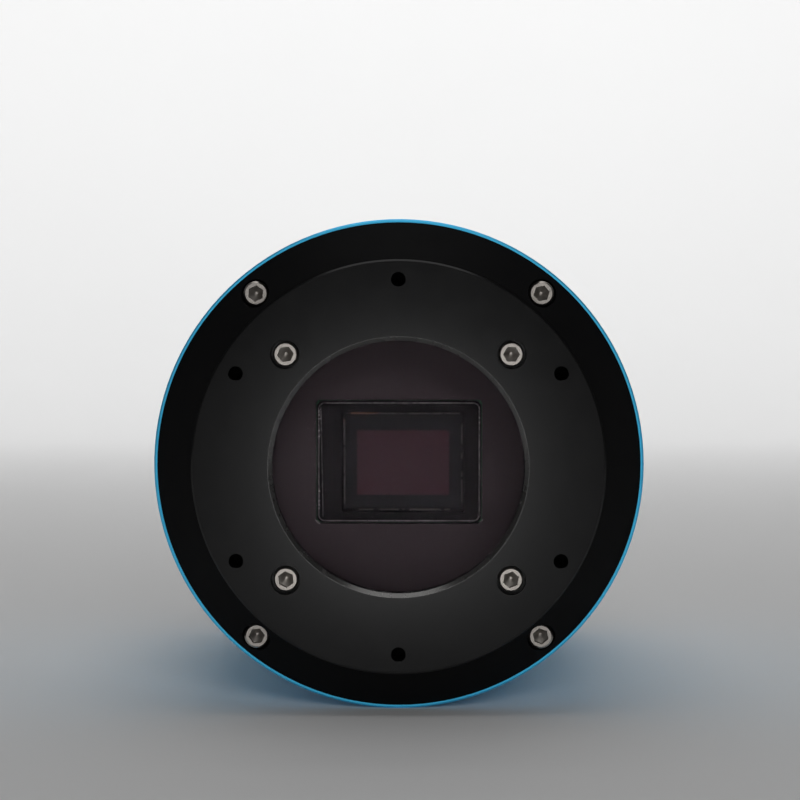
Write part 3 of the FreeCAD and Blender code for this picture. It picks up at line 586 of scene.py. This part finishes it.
# Runs of bond wires round the die, in mm from the optical axis: side, then start and end along it.
WIRE_RUNS = {
    "top": ((-9.1, -3.8), (-3.4, -0.5), (0.0, 0.9), (1.8, 5.6), (6.4, 8.2), (8.8, 11.5)),
    "left": ((7.9, 3.0), (2.6, -2.4), (-2.8, -8.2)),
    "right": ((7.0, 3.2), (1.5, 0.4), (-2.0, -3.0), (-3.5, -7.9)),
    "bottom": ((-7.6, -4.8), (-3.8, 0.0), (0.7, 1.1), (2.0, 7.8), (8.6, 9.7)),
}
WIRE_PITCH = 0.11 * MM
WIRE_HALF_W = 0.035 * MM
# A wire's bends: how far out from the die's edge and how high over the die, in mm.
WIRE_LOOP = ((-0.16, 0.02), (-0.08, 0.13), (0.06, 0.15), (0.18, 0.03))


def add_bond_wires():
    """Rows of fine wires that loop from the die's edge to the package."""
    mesh = bpy.data.meshes.new("bond_wires")
    bm = bmesh.new()
    for side, runs in WIRE_RUNS.items():
        level = side in ("top", "bottom")
        edge = {"top": DIE_HIGH.z, "bottom": DIE_LOW.z, "left": DIE_LOW.x, "right": DIE_HIGH.x}[side]
        out = 1 if side in ("top", "right") else -1
        for start, end in runs:
            count = int(abs(end - start) * MM / WIRE_PITCH)
            for i in range(count):
                along = (start + (end - start) * i / count) * MM
                loop = []
                for step, height in WIRE_LOOP:
                    across = edge + out * step * MM
                    y = DIE_LOW.y - height * MM
                    for side_step in (-WIRE_HALF_W, WIRE_HALF_W):
                        spot = (along + side_step, y, across) if level else (across, y, along + side_step)
                        loop.append(bm.verts.new(spot))
                for k in range(0, len(loop) - 2, 2):
                    bm.faces.new((loop[k], loop[k + 1], loop[k + 3], loop[k + 2]))
    bmesh.ops.recalc_face_normals(bm, faces=bm.faces)
    bm.to_mesh(mesh)
    bm.free()
    add_piece("bond_wires", mesh, "pin_metal", "bond_wire")


add_cover_glass()
add_edge_chips()
add_bond_wires()


# ---------------------------------------------------------------- stage and light

STAGE_FRONT_Y = -2.5
STAGE_BEND_Y = 0.9      # where the floor starts to curve up
STAGE_BEND_R = 0.9
STAGE_BEND_STEPS = 24
STAGE_TOP = 2.6
STAGE_HALF_W = 3.0


def stage_material():
    """Pale matt paper."""
    n = Nodes("stage_paper")
    cloud = n.noise(0.3, 2.0)
    n.set(Base_Color=n.mix(cloud, (0.78, 0.78, 0.78), (0.80, 0.80, 0.80)), Roughness=0.9)
    n.shader.inputs["Specular IOR Level"].default_value = 0.1
    return n.material


def add_stage():
    """Pale floor that curves up into a backdrop."""
    profile = [(STAGE_FRONT_Y, 0.0), (STAGE_BEND_Y, 0.0)]
    for i in range(1, STAGE_BEND_STEPS + 1):
        angle = math.radians(90 * i / STAGE_BEND_STEPS)
        back = STAGE_BEND_Y + STAGE_BEND_R * math.sin(angle)
        profile.append((back, STAGE_BEND_R * (1 - math.cos(angle))))
    profile.append((STAGE_BEND_Y + STAGE_BEND_R, STAGE_TOP))
    mesh = bpy.data.meshes.new("stage_floor")
    verts = [(side * STAGE_HALF_W, y, FLOOR_Z + z) for y, z in profile for side in (-1, 1)]
    faces = [(2 * i, 2 * i + 1, 2 * i + 3, 2 * i + 2) for i in range(len(profile) - 1)]
    mesh.from_pydata(verts, [], faces)
    for polygon in mesh.polygons:
        polygon.use_smooth = True
    mesh.materials.append(stage_material())
    floor = bpy.data.objects.new("stage_floor", mesh)
    bpy.context.scene.collection.objects.link(floor)


def add_light(name, place, aim, size, power, shape="RECTANGLE", spread=180):
    """Soft area light that the camera does not see."""
    data = bpy.data.lights.new(name, "AREA")
    data.shape = shape
    data.size, data.size_y = size
    data.energy = power
    data.spread = math.radians(spread)
    lamp = bpy.data.objects.new(name, data)
    lamp.location = place
    lamp.rotation_euler = (Vector(aim) - Vector(place)).to_track_quat("-Z", "Y").to_euler()
    lamp.visible_camera = False
    bpy.context.scene.collection.objects.link(lamp)


LIGHTS = {
    "top_box": dict(place=(0.0, 0.0, 0.50), aim=(0, 0, 0), size=(0.40, 0.30), power=0.42),
    "front_disc": dict(place=(-0.002, -0.20, -0.014), aim=(0, 0, 0), size=(0.060, 0.060), power=0.048,
                       shape="DISK"),
    "front_box": dict(place=(0.15, -0.90, 0.45), aim=(0, 0, 0), size=(0.50, 0.35), power=1.8),
    "right_strip": dict(place=(0.55, 0.25, 0.10), aim=(0, 0.03, 0), size=(0.10, 0.50), power=0.05),
    "left_strip": dict(place=(-0.55, 0.25, 0.15), aim=(0, 0.03, 0), size=(0.10, 0.50), power=0.05),
    "backdrop_light": dict(place=(0.0, 0.75, 1.6), aim=(0, 1.8, 0.5), size=(3.8, 0.4), power=31.0,
                           spread=144),
}
WORLD_STRENGTH = 0.06


def add_lights():
    world = bpy.data.worlds.new("studio")
    world.use_nodes = True
    world.node_tree.nodes["Background"].inputs["Color"].default_value = (1, 1, 1, 1)
    world.node_tree.nodes["Background"].inputs["Strength"].default_value = WORLD_STRENGTH
    bpy.context.scene.world = world
    for name, settings in LIGHTS.items():
        add_light(name, **settings)


add_stage()
add_lights()
bpy.context.scene.view_settings.view_transform = "Standard"
